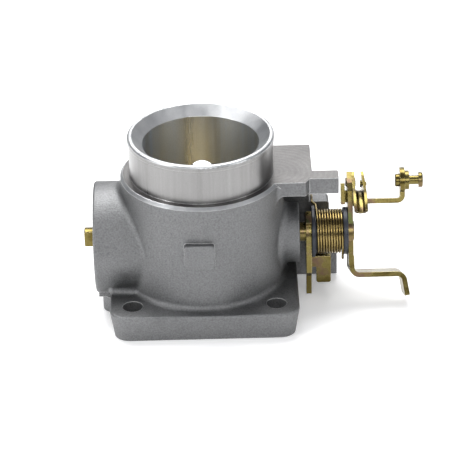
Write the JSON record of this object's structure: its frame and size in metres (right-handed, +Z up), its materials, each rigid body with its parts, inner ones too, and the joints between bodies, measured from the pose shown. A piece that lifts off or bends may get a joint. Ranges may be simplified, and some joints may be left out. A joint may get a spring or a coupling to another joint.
{
  "type": "throttle body",
  "caption": "Cable-operated throttle body: cast housing with flared round inlet, butterfly plate on a sprung shaft, cable quadrant and square four-bolt flange.",
  "frame": {"origin": "centre of the flange's mounting face, on the bore axis", "axes": "+Z up the bore towards the air inlet, +X along the throttle shaft towards the cable linkage, +Y towards the idle-air side"},
  "size_m": [0.192, 0.1068, 0.1025],
  "materials": {
    "cast_aluminium": "satin as-cast, machined at the neck and bore",
    "yellow_zinc_steel": "yellow chromate plated",
    "plate_brass": "milled",
    "bright_steel": "zinc plated",
    "bearing_bronze": "sintered",
    "seal_rubber": "moulded",
    "black_nylon": "moulded",
    "spring_wire": "drawn wire, bronze tinted"
  },
  "bodies": {
    "body": {"housing": "cast_aluminium", "shaft_bush_left": "bearing_bronze", "shaft_bush_right": "bearing_bronze", "shaft_seal_left": "seal_rubber", "shaft_seal_right": "seal_rubber", "idle_lock_nut": "yellow_zinc_steel", "return_spring": "spring_wire"},
    "rotor": {"throttle_shaft": "yellow_zinc_steel", "throttle_plate": "plate_brass", "plate_screws": "bright_steel", "retaining_clip": "bright_steel", "thrust_washer": "bright_steel", "stop_lever": "yellow_zinc_steel", "spring_bush_inner": "black_nylon", "spring_bush_outer": "black_nylon", "throttle_lever": "yellow_zinc_steel", "cable_quadrant": "yellow_zinc_steel", "quadrant_rivets": "yellow_zinc_steel", "cable_end_rivet": "yellow_zinc_steel", "cable_stud": "yellow_zinc_steel"},
    "idle_screw": {"idle_stop_screw": "bright_steel"}
  },
  "joints": [
    {"name": "throttle_turn", "type": "hinge", "parent": "body", "child": "rotor", "pos_m": [0, 0, 0.039], "axis": [-1, 0, 0], "range_deg": [0, 82], "stiffness_Nm_per_rad": 0.25, "springref_deg": -68.75, "deforming": ["return_spring"]},
    {"name": "idle_screw_adjust", "type": "slide", "parent": "body", "child": "idle_screw", "axis": [0, 1, 0], "range_m": [0, 0.003]}
  ]
}
